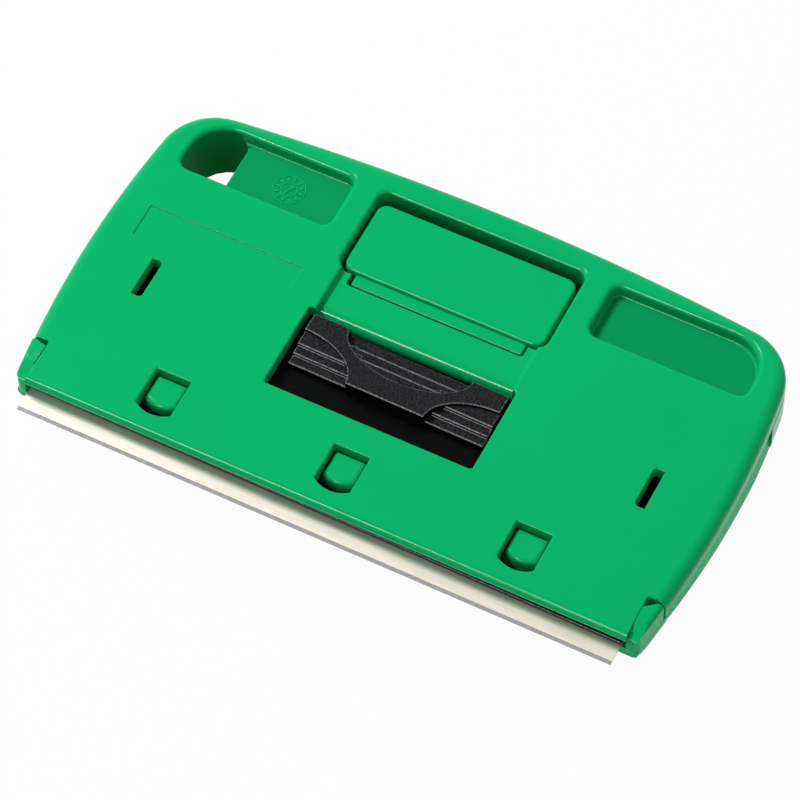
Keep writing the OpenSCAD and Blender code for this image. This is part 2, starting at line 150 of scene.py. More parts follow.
class ScraperHousing(bpy.types.PropertyGroup):
    """Sizes that both shells share, and those of the lower shell."""

    widest_d: size("Widest part", "From the front face back to the widest part", 28.5)
    side_r: size("Side radius", "Radius of each curved side", 170)
    rear_r: size("Rear radius", "Radius of the curved rear edge", 420)
    corner_r: size("Corner radius", "Radius of the two rear corners", 9.5)
    wall: size("Wall", "Wall thickness of both shells", 2.2)
    floor_t: size("Floor", "Floor thickness of the lower shell", 2)
    top_round: size("Top rounding", "Rounding along the top edge", 2)
    bottom_round: size("Bottom rounding", "Rounding along the bottom edge", 3.4)
    flank_round: size("Flank rounding", "Rounding along the bottom edge beside the rising front", 5.4)
    flank_d: size("Flank", "From the front face to where the flank rounding starts", 38)
    seam_chamfer: size("Seam chamfer", "Chamfer on both sides of the seam", 0.25)
    slope_d: size("Slope", "Length over which the underside rises to the front", 22)
    slope_blend: size("Slope blend", "Half the length of the soft start of the rise", 3)
    front_t: size("Front edge", "Thickness of the lower shell at the front face", 1.7)
    seat_front_d: size("Seat set-back", "From the front face to the blade seat", 0.4)
    seat_d: size("Seat", "From the front face to the back of the blade seat", 15.9)
    strip_front_d: size("Strip place", "From the front face to the side strips", 8.2)
    strip_d: size("Strip length", "Length of the rough side strips", 36.5)
    strip_inset: size("Strip depth", "How far the side strips are set in under the seam", 0.9)
    strip_foot: size("Strip foot depth", "How far the side strips are set in at their lower edge", 0.2)
    strip_low: size("Strip low", "Height of the lower edge of the side strips", 2)
    lip_w: size("Lip", "Width of the front lip between the ears", 101)
    ear_gap: size("Ear gap", "Gap between the lip and each ear", 0.05)
    ear_d: size("Ear length", "Length of the ears", 7.2)
    ear_crease_d: size("Ear crease", "From the front face to the crease on the ears", 3.5)
    ear_drop: size("Ear drop", "How far the ears slope down to their noses", 0.9)
    ear_nose: size("Ear nose", "Rounding of the ears' noses", 1.2)
    ear_corner: size("Ear corner", "Rounding of the ears' outer front corners", 1.5)
    ear_foot: size("Ear foot", "Rounding of the ears' lower front edges", 2.4)
    ear_slant: size("Ear slant", "How much shorter the ears are on their inner sides", 1.4)
    ear_round: size("Ear rounding", "Rounding along the ears' outer edges", 0.9)
    post_pitch: size("Post pitch", "Distance between the blade posts", 30.46)
    post_w: size("Post width", "Width of a blade post", 5.4)
    post_front_d: size("Post place", "From the front face to the nose of a post", 5.2)
    post_d: size("Post length", "Length of a post", 5.3)
    post_bulge: size("Post bulge", "How far the nose of a post bulges", 1)
    post_drop: size("Post drop", "Drop of a post below the cover", 1.2)
    post_round: size("Post rounding", "Rounding along a post's top edge", 0.8)


class ScraperCover(bpy.types.PropertyGroup):
    """Sizes of the cover and its openings."""

    panel_t: size("Panel", "Thickness of the cover's panel", 2.2)
    notch_d: size("Notch", "Length of the notches that clear the ears", 7.7)
    notch_rim: size("Notch rim", "Rounding around the notches", 0.3)
    lip_round: size("Lip rounding", "Rounding along the lip's top edge", 1.05)
    lip_foot: size("Lip foot", "Rounding along the lip's lower edge", 1.05)
    boss_r: size("Boss radius", "Radius of the bosses around the hinge pins", 0.75)
    boss_w: size("Boss width", "Width of the bosses around the hinge pins", 5.2)
    post_side_gap: size("Post side gap", "Gap beside a post in its window", 0.25)
    post_front_gap: size("Post front gap", "Gap in front of a post in its window", 2.05)
    post_rear_gap: size("Post rear gap", "Gap behind a post in its window", 0.25)
    post_rim: size("Post window rim", "Rounding around the post windows", 0.35)
    window_w: size("Thumb window width", "Width of the thumb window", 35.2)
    window_shift: size("Thumb window shift", "How far the thumb window lies left of the middle", 0.15)
    window_front_d: size("Thumb window place", "From the front face to the thumb window", 15.8)
    window_d: size("Thumb window length", "Length of the thumb window", 15.2)
    window_r: size("Thumb window corner", "Corner radius of the thumb window", 0.5)
    window_rim: size("Thumb window rim", "Rounding around the thumb window", 0.35)
    roll_r: size("Roll", "Rounding from the thumb rest down into the thumb window", 2)
    slot_x: size("Slot place", "Distance of the narrow slots from the middle", 42.7)
    slot_w: size("Slot width", "Width of the narrow slots", 1.7)
    slot_d: size("Slot length", "Length of the narrow slots", 7.1)
    slot_front_d: size("Slot distance", "From the front face to the narrow slots", 21)
    slot_r: size("Slot corner", "Corner radius of the narrow slots", 0.6)
    slot_rim: size("Slot rim", "Rounding around the narrow slots", 0.2)
    dish_w: size("Thumb rest width", "Width of the dished thumb rest", 33.4)
    dish_depth: size("Thumb rest depth", "Depth of the dished thumb rest", 1.2)
    dish_round: size("Thumb rest rounding", "Rounding of the thumb rest's sides", 0.55)
    rear_margin: size("Rear margin", "From the rear edge to the recesses and the latch opening", 4.7)
    recess_x: size("Recess place", "From the middle to each recess", 22.3)
    recess_w: size("Recess width", "Width of each recess", 26.3)
    recess_d: size("Recess length", "Length of each recess", 9.8)
    recess_depth: size("Recess depth", "Depth of each recess", 2.5)
    recess_r: size("Recess corner", "Small corner radius of each recess", 1.5)
    recess_far_r: size("Recess far corner", "Large corner radius of each recess", 6)
    recess_t: size("Recess wall", "Thickness around and under the recesses", 1.3)
    recess_rim: size("Recess rim", "Rounding around the recesses", 0.9)
    recess_foot: size("Recess foot", "Rounding around the recess floors", 0.5)
    hang_w: size("Hanging hole", "Width of the hanging hole", 7.6)
    hang_rim: size("Hanging hole rim", "Rounding where the recess floor meets the hanging hole", 0.5)
    opening_rim: size("Latch opening rim", "Rounding around the latch opening", 0.6)
    notch_gap: size("Ledge gap", "Gap around the latch's ledge", 0.5)
    plate_x0: size("Plate start", "From the middle to the far end of the bare plate", 48.6)
    plate_x1: size("Plate end", "From the middle to the near end of the bare plate", 22)
    plate_front_d: size("Plate place", "From the front face to the bare plate", 30.8)
    plate_d: size("Plate length", "Length of the bare plate from front to back", 5.9)
    plate_depth: size("Plate depth", "Depth of the bare plate", 0.2)
    dial_x: size("Dial place", "From the middle to the mould dial", 31.6)
    dial_d: size("Dial distance", "From the front face to the mould dial", 50.2)
    dial_r: size("Dial radius", "Radius of the mould dial", 2.7)
    dial_h: size("Dial relief", "Height of the mould dial's marks", 0.11)


class ScraperMechanism(bpy.types.PropertyGroup):
    """Sizes of the blade, the guard, the grip and the latch."""

    bevel_d: size("Blade bevel", "Width of the blade's ground bevel", 0.6)
    hole_clear: size("Blade hole gap", "Gap around a post in the blade", 0.1)
    blade_play: size("Blade play", "Sideways play of the blade", 0.4)
    post_clear: size("Guard slot gap", "Gap beside and behind a post in the guard", 0.45)
    post_ahead: size("Guard slot front gap", "Gap in front of a post in the guard", 0.25)
    travel: size("Guard travel", "Forward travel of the guard", 4.4)
    guard_edge: size("Guard edge", "Rounding along the guard's edges", 0.15)
    guard_skew: FloatProperty(
        name="Guard skew", description="How far the guard sits askew in its play",
        default=math.radians(0.4), subtype="ANGLE",
    )
    grip_skew: FloatProperty(
        name="Grip skew", description="How far the grip sits askew on the tool",
        default=math.radians(0.75), subtype="ANGLE",
    )
    step_h: size("Grip step height", "Rise of each step in the grip's scoops", 0.6)
    step_d: size("Grip step length", "Length of each step in the grip's front scoops", 1.55)
    rear_step_d: size("Grip rear step length", "Length of each step in the grip's rear scoop", 1.85)
    bead_w: size("Grip bead width", "Width of the fine bead at the foot of a step", 0.2)
    bead_h: size("Grip bead height", "Height of the fine bead at the foot of a step", 0.1)
    grip_trim: size("Grip trim", "How much the skewed grip is shorter than its room", 0.25)
    grip_edge: size("Grip edge", "Chamfer along the grip's edges", 0.16)
    band_front_x: size("Grip front", "Half the width of the grip's straight front", 6.66)
    band_rear_x: size("Grip rear scoop", "Half the width of the grip's rear scoop", 10.57)
    band_side_d: size("Grip corner scoop", "Length of the grip's front corner scoops", 5.86)
    band_scoop_d: size("Grip scoop depth", "Length of the grip's rear scoop", 5.4)
    button_w: size("Button width", "Width of the push button", 34.2)
    button_d: size("Button length", "Length of the push button", 13.5)
    button_r: size("Button corner", "Corner radius of the push button", 1.8)
    button_t: size("Button thickness", "Thickness of the push button", 2)
    button_round: size("Button rounding", "Rounding along the button's top edge", 0.6)
    button_gap: size("Button side gap", "Gap beside the push button", 0.65)
    button_rear_gap: size("Button rear gap", "Gap behind the push button", 1.6)
    button_front_gap: size("Button front gap", "Gap in front of the push button", 0.5)
    ledge_w: size("Ledge width", "Width of the latch's ledge", 29.2)
    ledge_t: size("Ledge thickness", "Thickness of the latch's ledge", 1.4)
    ledge_step: size("Ledge step", "Step down from the button to the ledge", 0.8)
    ledge_round: size("Ledge rounding", "Rounding along the ledge's edges", 0.3)
    tongue_t: size("Tongue thickness", "Thickness of the latch's tongue", 1.6)
    tongue_w: size("Tongue width", "Width of the latch's tongue", 21)
    foot_r: size("Foot radius", "Radius of the round foot that the latch turns on", 1.2)
    lug_t: size("Lug thickness", "Thickness of the lugs that hold the foot", 2.4)
    lug_gap: size("Lug gap", "Gap between the tongue and each lug", 0.7)
    rail_x: size("Rail place", "Distance of the guide rails from the middle", 24)
    rail_t: size("Rail thickness", "Thickness of the guide rails", 1.6)
    rail_end_d: size("Rail end", "From the front face to the rear end of the guide rails", 32)


class ScraperColours(bpy.types.PropertyGroup):
    """Colours of the finishes; the matt, rough and worn ones also carry painted shade, light or highlight."""

    green: colour("Green", "Moulded housing", (0.0006, 0.44, 0.14))
    green_deep: colour("Deep green", "Darker cloud in the moulded housing", (0.0005, 0.425, 0.134))
    # Darker than the housing green: painted shade on the recess floors and the hanging hole's walls, in a
    # matt finish.
    green_matt_shade: colour("Matt green", "Floors of the recesses", (0.0005, 0.30, 0.095))
    # Paler than the housing green: partly the rough strips' own tone, partly painted light in place of the
    # floor's bounce.
    green_rough_lit: colour("Rough green", "Side strips", (0.012, 0.58, 0.22))
    black: colour("Black", "Grip", (0.021, 0.0225, 0.025))
    # On the grip's steep faces this deep black is painted shade; on the guard and in the grip's grain cloud
    # it is their own tone.
    black_deep: colour("Deep black", "Guard, and the darker cloud in the grip", (0.0018, 0.002, 0.002))
    # Light grey on the grip's chamfered edges and the guard's front edge: partly rubbed wear, partly painted
    # highlight.
    black_worn_highlit: colour("Worn black", "Rubbed edges of the grip", (0.20, 0.205, 0.215))
    steel: colour("Steel", "Flat of the blade", (0.80, 0.725, 0.645))
    steel_ground: colour("Ground steel", "Ground bevel of the blade", (0.36, 0.355, 0.36))
    floor: colour("Floor", "Plain pale floor", (0.9, 0.9, 0.9))


def housing_sizes():
    return bpy.context.scene.scraper_housing


def cover_sizes():
    return bpy.context.scene.scraper_cover


def works_sizes():
    return bpy.context.scene.scraper_mechanism


def colours():
    return bpy.context.scene.scraper_colours


# Outlines seen from above


def back(d):
    """Y of a distance behind the front face."""
    return FRONT + d


def span(side, near, far):
    """Two distances from the middle, taken on one side, as X from left to right."""
    return sorted((side * near, side * far))


def fillet(radius):
    """Steps round a quarter circle: how far each lies in from the side, and how far down from the top."""
    return [(radius * (1 - math.cos(a)), radius * (1 - math.sin(a))) for a in QUARTER]


def arc(centre, radius, start, end, steps, first=0):
    """Points along an arc, angles in radians."""
    turns = [start + (end - start) * i / steps for i in range(first, steps + 1)]
    return [(centre[0] + radius * math.cos(a), centre[1] + radius * math.sin(a)) for a in turns]


def housing_outline(inset, front_y):
    """The housing's outline, set in by a distance, counter-clockwise from the front right."""
    h = housing_sizes()
    side_c = Vector((HALF_W - h.side_r, back(h.widest_d)))
    rear_c = Vector((0, REAR - h.rear_r))
    side_r, rear_r = h.side_r - h.corner_r, h.rear_r - h.corner_r
    apart = (rear_c - side_c).length
    along = (rear_c - side_c) / apart
    foot = (side_r**2 - rear_r**2 + apart**2) / (2 * apart)
    across = math.sqrt(side_r**2 - foot**2)
    corner_c = side_c + foot * along + across * Vector((-along.y, along.x))
    front_a = math.asin((front_y - side_c.y) / (h.side_r - inset))
    side_a = math.atan2(corner_c.y - side_c.y, corner_c.x - side_c.x)
    corner_a = math.atan2(corner_c.y - rear_c.y, corner_c.x - rear_c.x)
    half = arc(side_c, h.side_r - inset, front_a, side_a, SIDE_STEPS)
    half += arc(corner_c, h.corner_r - inset, side_a, corner_a, CORNER_STEPS, 1)
    half += arc(rear_c, h.rear_r - inset, corner_a, math.pi / 2, REAR_STEPS, 1)
    return half + [(-x, y) for x, y in half[-2::-1]]


def rounded(low, high, radii, rear_spread=1):
    """A function that gives a rectangle with rounded corners, grown by a distance.

    The radii run from the front left corner to the rear left one. rear_spread widens the growth at the rear.
    """

    def outline(grow):
        x0, y0, x1, y1 = low[0] - grow, low[1] - grow, high[0] + grow, high[1] + grow * rear_spread
        r = [max(radius + grow, SLIVER) for radius in radii]
        quarter = math.pi / 2
        return (
            arc((x0 + r[0], y0 + r[0]), r[0], 2 * quarter, 3 * quarter, STEPS)
            + arc((x1 - r[1], y0 + r[1]), r[1], 3 * quarter, 4 * quarter, STEPS)
            + arc((x1 - r[2], y1 - r[2]), r[2], 0, quarter, STEPS)
            + arc((x0 + r[3], y1 - r[3]), r[3], quarter, 2 * quarter, STEPS)
        )

    return outline


def d_shape(x, width, front_y, length, bulge, corner):
    """A function that gives a straight-backed shape with a bulging front, grown by a distance."""
    nose_r = (width**2 / 4 + bulge**2) / (2 * bulge)
    nose_y = front_y + nose_r

    def outline(grow):
        half, r = width / 2 + grow, max(corner + grow, SLIVER)
        rear = front_y + length + grow
        lean = math.asin(half / (nose_r + grow))
        return (
            arc((x + half - r, rear - r), r, 0, math.pi / 2, STEPS)
            + arc((x - half + r, rear - r), r, math.pi / 2, math.pi, STEPS)
            + arc((x, nose_y), nose_r + grow, 1.5 * math.pi - lean, 1.5 * math.pi + lean, 2 * STEPS)
        )

    return outline


def level(outline, z):
    """An outline laid at a height."""
    return [(x, y, z) for x, y in outline]


# Modelling steps


def only(*pieces):
    """Selects these pieces alone, the first one active."""
    if bpy.context.object and bpy.context.object.mode != "OBJECT":
        bpy.ops.object.mode_set(mode="OBJECT")
    bpy.ops.object.select_all(action="DESELECT")
    for piece in pieces:
        piece.select_set(True)
    if pieces:
        bpy.context.view_layer.objects.active = pieces[0]


def place_cap(piece, ring):
    """Moves the selected face's corners onto a ring of points."""
    mesh = bmesh.from_edit_mesh(piece.data)
    end = next(face for face in mesh.faces if face.select)
    for corner, point in zip(end.verts, ring):
        corner.co = point
    bmesh.update_edit_mesh(piece.data)


def loft(name, rings):
    """A closed solid, extruded from the first ring of points through all the others."""
    only()
    bpy.ops.mesh.primitive_circle_add(vertices=len(rings[0]), radius=MM, fill_type="NGON")
    piece = bpy.context.object
    piece.name = name
    bpy.ops.object.mode_set(mode="EDIT")
    place_cap(piece, rings[0])
    for ring in rings[1:]:
        bpy.ops.mesh.extrude_region_move()
        place_cap(piece, ring)
    bpy.ops.mesh.select_all(action="SELECT")
    bpy.ops.mesh.normals_make_consistent(inside=False)
    bpy.ops.object.mode_set(mode="OBJECT")
    return piece


def prism(name, outline, low, high):
    """An upright solid of one outline."""
    return loft(name, [level(outline, low), level(outline, high)])


def block(name, low, high):
    """A box between two corners."""
    return prism(name, [low[:2], (high[0], low[1]), high[:2], (low[0], high[1])], low[2], high[2])


def bar_x(name, profile, x0, x1):
    """A solid of one profile of (y, z) points along X."""
    return loft(name, [[(x, y, z) for y, z in profile] for x in (x0, x1)])


def bar_y(name, profile, y0, y1):
    """A solid of one profile of (x, z) points along Y."""
    return loft(name, [[(x, y, z) for x, z in profile] for y in (y0, y1)])


def rod(name, radius, x0, x1, y, z):
    """A round bar along X."""
    only()
    bpy.ops.mesh.primitive_cylinder_add(
        vertices=ROD_STEPS, radius=radius, depth=x1 - x0,
        location=((x0 + x1) / 2, y, z), rotation=(0, math.pi / 2, 0),
    )
    piece = bpy.context.object
    piece.name = name
    bpy.ops.object.transform_apply(location=True, rotation=True, scale=True)
    return piece


def pocket(name, outline, low, high, rim=0, foot=0):
    """A cutter that rounds off into its floor and flares into a rounded rim at the top."""
    rings = [level(outline(0), low)]
    if foot:
        rings = [level(outline(-down), low + inset) for inset, down in fillet(foot)]
    if rim:
        rings += [level(outline(inset), high - down) for inset, down in fillet(rim)]
    return loft(name, rings + [level(outline(rim), high + OVER)])


def cap(name, outline, low, high, top_round):
    """An upright solid with a rounded top edge."""
    edge = [level(outline(-inset), high - down) for inset, down in fillet(top_round)]
    return loft(name, [level(outline(0), low)] + edge)


def corner_cut(corner, radius, towards):
    """Profile of a cutter that rounds an edge; towards has the signs that lead from it into the solid."""
    u, v = corner
    su, sv = towards
    curve = [(u + su * inset, v + sv * down) for inset, down in fillet(radius)]
    outside = [(su * radius, -sv * OVER), (-su * OVER, -sv * OVER), (-su * OVER, sv * radius)]
    return curve + [(u + du, v + dv) for du, dv in outside]


def combine(piece, tools, operation):
    """Joins tools to a piece, or cuts them out of it, one after the other."""
    for tool in tools:
        only(piece)
        modifier = piece.modifiers.new(tool.name, "BOOLEAN")
        modifier.operation = operation
        modifier.solver = "MANIFOLD"
        modifier.object = tool
        bpy.ops.object.modifier_apply(modifier=modifier.name)
        bpy.data.objects.remove(tool)
        if not piece.data.polygons:
            raise RuntimeError(piece.name + " lost its body")
    return piece


def cut(piece, *tools):
    return combine(piece, tools, "DIFFERENCE")


def add(piece, *tools):
    return combine(piece, tools, "UNION")


def keep_inside(piece, envelope):
    return combine(piece, [envelope], "INTERSECT")


def chamfer(piece, width, picked, segments=1, slot=None):
    """Bevels the edges that picked accepts, and gives the new faces a material slot."""
    only(piece)
    bpy.ops.object.mode_set(mode="EDIT")
    bpy.ops.mesh.select_mode(type="EDGE")
    bpy.ops.mesh.select_all(action="DESELECT")
    mesh = bmesh.from_edit_mesh(piece.data)
    for edge in mesh.edges:
        edge.select = picked(*[v.co for v in edge.verts])
    mesh.select_flush_mode()
    bmesh.update_edit_mesh(piece.data)
    bpy.ops.mesh.bevel(
        offset=width, offset_type="OFFSET", segments=segments, affect="EDGES", clamp_overlap=True
    )
    if slot is not None:
        mesh = bmesh.from_edit_mesh(piece.data)
        for face in mesh.faces:
            if face.select and abs(face.normal.z) < CHAMFER_NORMAL:
                face.material_index = slot
        bmesh.update_edit_mesh(piece.data)
    bpy.ops.object.mode_set(mode="OBJECT")
    return piece


def paint(piece, slot, picked):
    """Gives the faces that picked accepts a material slot."""
    for face in piece.data.polygons:
        if picked(face):
            face.material_index = slot


def dress(piece, body, nodes, materials, crease=32):
    """Shades a finished piece up to a crease in degrees, gives it its materials, and sets it on its body."""
    only(piece)
    bpy.ops.object.mode_set(mode="EDIT")
    bpy.ops.mesh.select_all(action="SELECT")
    bpy.ops.mesh.remove_doubles(threshold=WELD)
    bpy.ops.object.mode_set(mode="OBJECT")
    bpy.ops.object.shade_smooth_by_angle(angle=math.radians(crease))
    modifier = piece.modifiers.new("even shading", "WEIGHTED_NORMAL")
    modifier.keep_sharp = True
    bpy.ops.object.modifier_apply(modifier=modifier.name)
    for i, material in enumerate(materials):
        if i < len(piece.data.materials):
            piece.data.materials[i] = material
        else:
            piece.data.materials.append(material)
    while len(piece.data.materials) > len(materials):
        piece.data.materials.pop()
    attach(piece, body)
    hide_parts(*nodes)
    return piece


# Finishes, some of them with painted shade, light or highlight

CLOUD_SPAN = (0.35, 0.65)
NOISE_SPAN = (0.3, 0.7)
MOULDED_PLAY = 0.06
GROUND_PLAY = 0.05
STREAK_SHARE = 0.86
STREAK_DETAIL = 4
STREAK_DEPTH = 0.01 * MM


def fill(tree, node, inputs):
    """Sets a node's inputs: each gets a value, or a link from a socket."""
    for key, value in inputs.items():
        if isinstance(value, bpy.types.NodeSocket):
            tree.links.new(value, node.inputs[key])
        else:
            node.inputs[key].default_value = value
    return node


def add_node(tree, kind, inputs, **settings):
    """A new shader node with its settings and its inputs."""
    node = tree.nodes.new("ShaderNode" + kind)
    for name, value in settings.items():
        setattr(node, name, value)
    return fill(tree, node, inputs)


def group_socket(group, name, direction, kind="NodeSocketFloat", default=None):
    socket = group.interface.new_socket(name=name, in_out=direction, socket_type=kind)
    if default is not None:
        socket.default_value = default


def moulded_skin():
    """Node group: the fine grain of a moulded surface, and the soft clouds in its colour."""
    name = "moulded skin"
    if name in bpy.data.node_groups:
        return bpy.data.node_groups[name]
    group = bpy.data.node_groups.new(name, "ShaderNodeTree")
    group_socket(group, "Grain Scale", "INPUT", default=3000)
    group_socket(group, "Cloud Scale", "INPUT", default=60)
    group_socket(group, "Grain", "OUTPUT")
    group_socket(group, "Cloud", "OUTPUT")
    scales, outputs = group.nodes.new("NodeGroupInput").outputs, group.nodes.new("NodeGroupOutput")
    place = add_node(group, "TexCoord", {}).outputs["Object"]
    for name, detail in (("Grain", 3), ("Cloud", 2)):
        inputs = {"Vector": place, "Scale": scales[name + " Scale"], "Detail": detail}
        fill(group, outputs, {name: add_node(group, "TexNoise", inputs).outputs["Fac"]})
    return group


def new_material(name):
    """A new material, its node tree and its shader."""
    material = bpy.data.materials.new(name)
    material.use_nodes = True
    return material, material.node_tree, material.node_tree.nodes["Principled BSDF"]


def mix_colours(tree, factor, first, second):
    inputs = {"Factor": factor, "A": (*first, 1), "B": (*second, 1)}
    return add_node(tree, "Mix", inputs, data_type="RGBA").outputs["Result"]


def map_range(tree, value, span_in, span_out):
    sockets = ("Value", "From Min", "From Max", "To Min", "To Max")
    return add_node(tree, "MapRange", dict(zip(sockets, (value, *span_in, *span_out)))).outputs["Result"]


def bump(tree, height, strength, distance):
    inputs = {"Height": height, "Strength": strength, "Distance": distance}
    return add_node(tree, "Bump", inputs).outputs["Normal"]


def plastic(name, tones, roughness, grain_scale, grain_depth, grain_strength, specular, mottle="Cloud"):
    """A moulded plastic: two close tones in soft clouds or in its grain, with a fine relief."""
    if name in bpy.data.materials:
        return bpy.data.materials[name]
    material, tree, shader = new_material(name)
    skin = add_node(tree, "Group", {"Grain Scale": grain_scale}, node_tree=moulded_skin())
    grain = skin.outputs["Grain"]
    cloud = map_range(tree, skin.outputs[mottle], CLOUD_SPAN, (0, 1))
    rough_span = (roughness - MOULDED_PLAY, roughness + MOULDED_PLAY)
    look = {
        "Base Color": mix_colours(tree, cloud, *tones),
        "Roughness": map_range(tree, grain, NOISE_SPAN, rough_span),
        "Normal": bump(tree, grain, grain_strength, grain_depth),
        "Specular IOR Level": specular,
    }
    fill(tree, shader, look)
    return material


def green_plastic():
    c = colours()
    return plastic(
        "green plastic", (c.green, c.green_deep), roughness=0.16, grain_scale=2600,
        grain_depth=0.02 * MM, grain_strength=0.1, specular=0.05,
    )


# Matt, and darker than the green plastic, to paint the shade in the recesses and the hanging hole.
def shaded_matt_green_plastic():
    c = colours()
    return plastic(
        "matt green plastic", (c.green_matt_shade, c.green_matt_shade), roughness=0.5, grain_scale=2600,
        grain_depth=0.05 * MM, grain_strength=0.3, specular=0.02,
    )


# Paler rough green for the side strips: partly their own finish, partly painted light.
def lit_rough_green_plastic():
    c = colours()
    return plastic(
        "rough green plastic", (c.green_rough_lit, c.green), roughness=0.5, grain_scale=1500,
        grain_depth=0.25 * MM, grain_strength=0.9, specular=0.3, mottle="Grain",
    )


def black_plastic():
    c = colours()
    return plastic(
        "black plastic", (c.black, c.black_deep), roughness=0.4, grain_scale=3000,
        grain_depth=0.2 * MM, grain_strength=0.9, specular=0.05, mottle="Grain",
    )


def deep_black_plastic_and_shade():
    c = colours()
    return plastic(
        "smooth black plastic", (c.black_deep, c.black_deep), roughness=0.3, grain_scale=2600,
        grain_depth=0.02 * MM, grain_strength=0.2, specular=0.03,
    )


# Light grey for rubbed edges, which also paints their highlight.
def worn_highlit_black_plastic():
    c = colours()
    return plastic(
        "worn black plastic", (c.black_worn_highlit, c.black), roughness=0.4, grain_scale=3200,
        grain_depth=0.05 * MM, grain_strength=0.4, specular=0.2, mottle="Grain",
    )


def steel(name, tone, roughness, streak_scale, streak_strength, metallic):
    """Ground steel: fine streaks in one direction."""
    if name in bpy.data.materials:
        return bpy.data.materials[name]
    material, tree, shader = new_material(name)
    place = add_node(tree, "TexCoord", {}).outputs["Object"]
    mapped = add_node(tree, "Mapping", {"Vector": place, "Scale": streak_scale}).outputs["Vector"]
    noise = add_node(tree, "TexNoise", {"Vector": mapped, "Scale": 1, "Detail": STREAK_DETAIL}).outputs["Fac"]
    streak = map_range(tree, noise, NOISE_SPAN, (0, 1))
    dark = [value * STREAK_SHARE for value in tone]
    rough_span = (roughness - GROUND_PLAY, roughness + GROUND_PLAY)
    look = {
        "Base Color": mix_colours(tree, streak, dark, tone),
        "Roughness": map_range(tree, noise, NOISE_SPAN, rough_span),
        "Normal": bump(tree, noise, streak_strength, STREAK_DEPTH),
        "Metallic": metallic,
    }
    fill(tree, shader, look)
    return material


def blade_steel():
    return steel(
        "blade steel", colours().steel, roughness=0.35, streak_scale=(150, 6000, 6000),
        streak_strength=0.2, metallic=0.25,
    )


def ground_steel():
    return steel(
        "ground steel", colours().steel_ground, roughness=0.15, streak_scale=(9000, 900, 900),
        streak_strength=0.15, metallic=1,
    )


# Pieces


def post_outline(i, side, front_gap, rear_gap, corner, shift=0):
    """Outline around one blade post, with a gap beside, in front of and behind it."""
    h = housing_sizes()
    return d_shape(
        i * h.post_pitch + shift, h.post_w + 2 * side, back(h.post_front_d - front_gap),
        front_gap + h.post_d + rear_gap, h.post_bulge, corner,
    )


def recess_outline(side, grow=0, width=None):
    """Outline of a rear recess, or of the part of it at its far end."""
    c = cover_sizes()
    width = width or c.recess_w
    far = c.recess_x + c.recess_w
    x0, x1 = (far - width, far) if side > 0 else (-far, width - far)
    rear = REAR - c.rear_margin
    radii = [c.recess_r + grow] * 4
    radii[2 if side > 0 else 3] = c.recess_far_r + grow
    low, high = (x0 - grow, rear - c.recess_d - grow), (x1 + grow, rear + grow)
    return rounded(low, high, radii, RECESS_REAR_SPREAD)


def paint_hole_shade(piece, slot):
    """Gives the walls of the hanging hole another material slot, the darker matt green that paints their
    shade.
    """
    outline = recess_outline(-1, HOLE_MARGIN, cover_sizes().hang_w)(0)
    (x0, x1), (y0, y1) = [(min(axis), max(axis)) for axis in zip(*outline)]

    def in_shaded_hole(face):
        return abs(face.normal.z) < WALL_NORMAL and x0 < face.center.x < x1 and y0 < face.center.y < y1

    paint(piece, slot, in_shaded_hole)


def latch_outlines(grow=0):
    """Outlines of the opening around the push button, and of the notch for its ledge."""
    c, m = cover_sizes(), works_sizes()
    rear = REAR - c.rear_margin
    front = rear - m.button_rear_gap - m.button_d
    half = m.button_w / 2 + m.button_gap + grow
    notch = m.ledge_w / 2 + c.notch_gap + grow
    low, high = (-half, front - m.button_front_gap - grow), (half, rear + grow)
    opening = rounded(low, high, [m.button_r + grow] * 4, OPENING_REAR_SPREAD)
    ledge_front = BUTTON[0].y - c.notch_gap - grow
    return opening, rounded((-notch, ledge_front), (notch, front), [c.notch_gap] * 4)


def latch_frame(low, high):
    """Wall around the latch opening, under the panel."""
    c = cover_sizes()
    opening, notch = latch_outlines(c.recess_t)
    return [prism("opening wall", opening(0), low, high), prism("notch wall", notch(0), low, high)]


def dish_profile(dish_floor):
    """Cross-section of the thumb rest: rounded at the floor and at the rim of each side."""
    c = cover_sizes()
    half = c.dish_w / 2
    side = [(half - down, dish_floor + inset) for inset, down in fillet(c.dish_round)]
    side += [(half + inset, TOP - down) for inset, down in fillet(c.dish_round)]
    side.append((half + c.dish_round, TOP + OVER))
    return side + [(-x, z) for x, z in reversed(side)]


def dial_marks(floor_z):
    """Raised marks of a plain mould dial: ticks between two rings, and a pointer."""
    c = cover_sizes()
    centre = (-c.dial_x, back(c.dial_d))
    marks = []

    def mark(name, points, angle):
        turn = Matrix.Rotation(angle, 2)
        outline = [Vector(centre) + turn @ Vector(point) for point in points]
        marks.append(prism(name, outline, floor_z - c.dial_h, floor_z + c.dial_h))

    for share in DIAL_RING_SHARES:
        only()
        bpy.ops.mesh.primitive_torus_add(
            major_radius=share * c.dial_r, minor_radius=c.dial_h, major_segments=64, minor_segments=8,
            location=(*centre, floor_z),
        )
        bpy.ops.object.transform_apply(location=True)
        marks.append(bpy.context.object)
    half, stem, head = [share * c.dial_r for share in DIAL_POINTER_SHARES]
    inner, outer = [share * c.dial_r for share in DIAL_TICK_SHARES]
    tick = [(-half, inner), (half, inner), (half, outer), (-half, outer)]
    for i in range(DIAL_TICKS):
        mark("tick", tick, 2 * math.pi * i / DIAL_TICKS)
    neck = stem - head
    pointer = [(-half, -stem), (half, -stem), (half, neck), (head, neck)]
    pointer += [(0, stem), (-head, neck), (-half, neck)]
    mark("pointer", pointer, DIAL_POINTER_TURN)
    return marks


def post_window(i):
    """Cutter of the window over one blade post."""
    c = cover_sizes()
    outline = post_outline(i, c.post_side_gap, c.post_front_gap, c.post_rear_gap, POST_HOLE_CORNER)
    return pocket("post window", outline, RIM, TOP, c.post_rim)


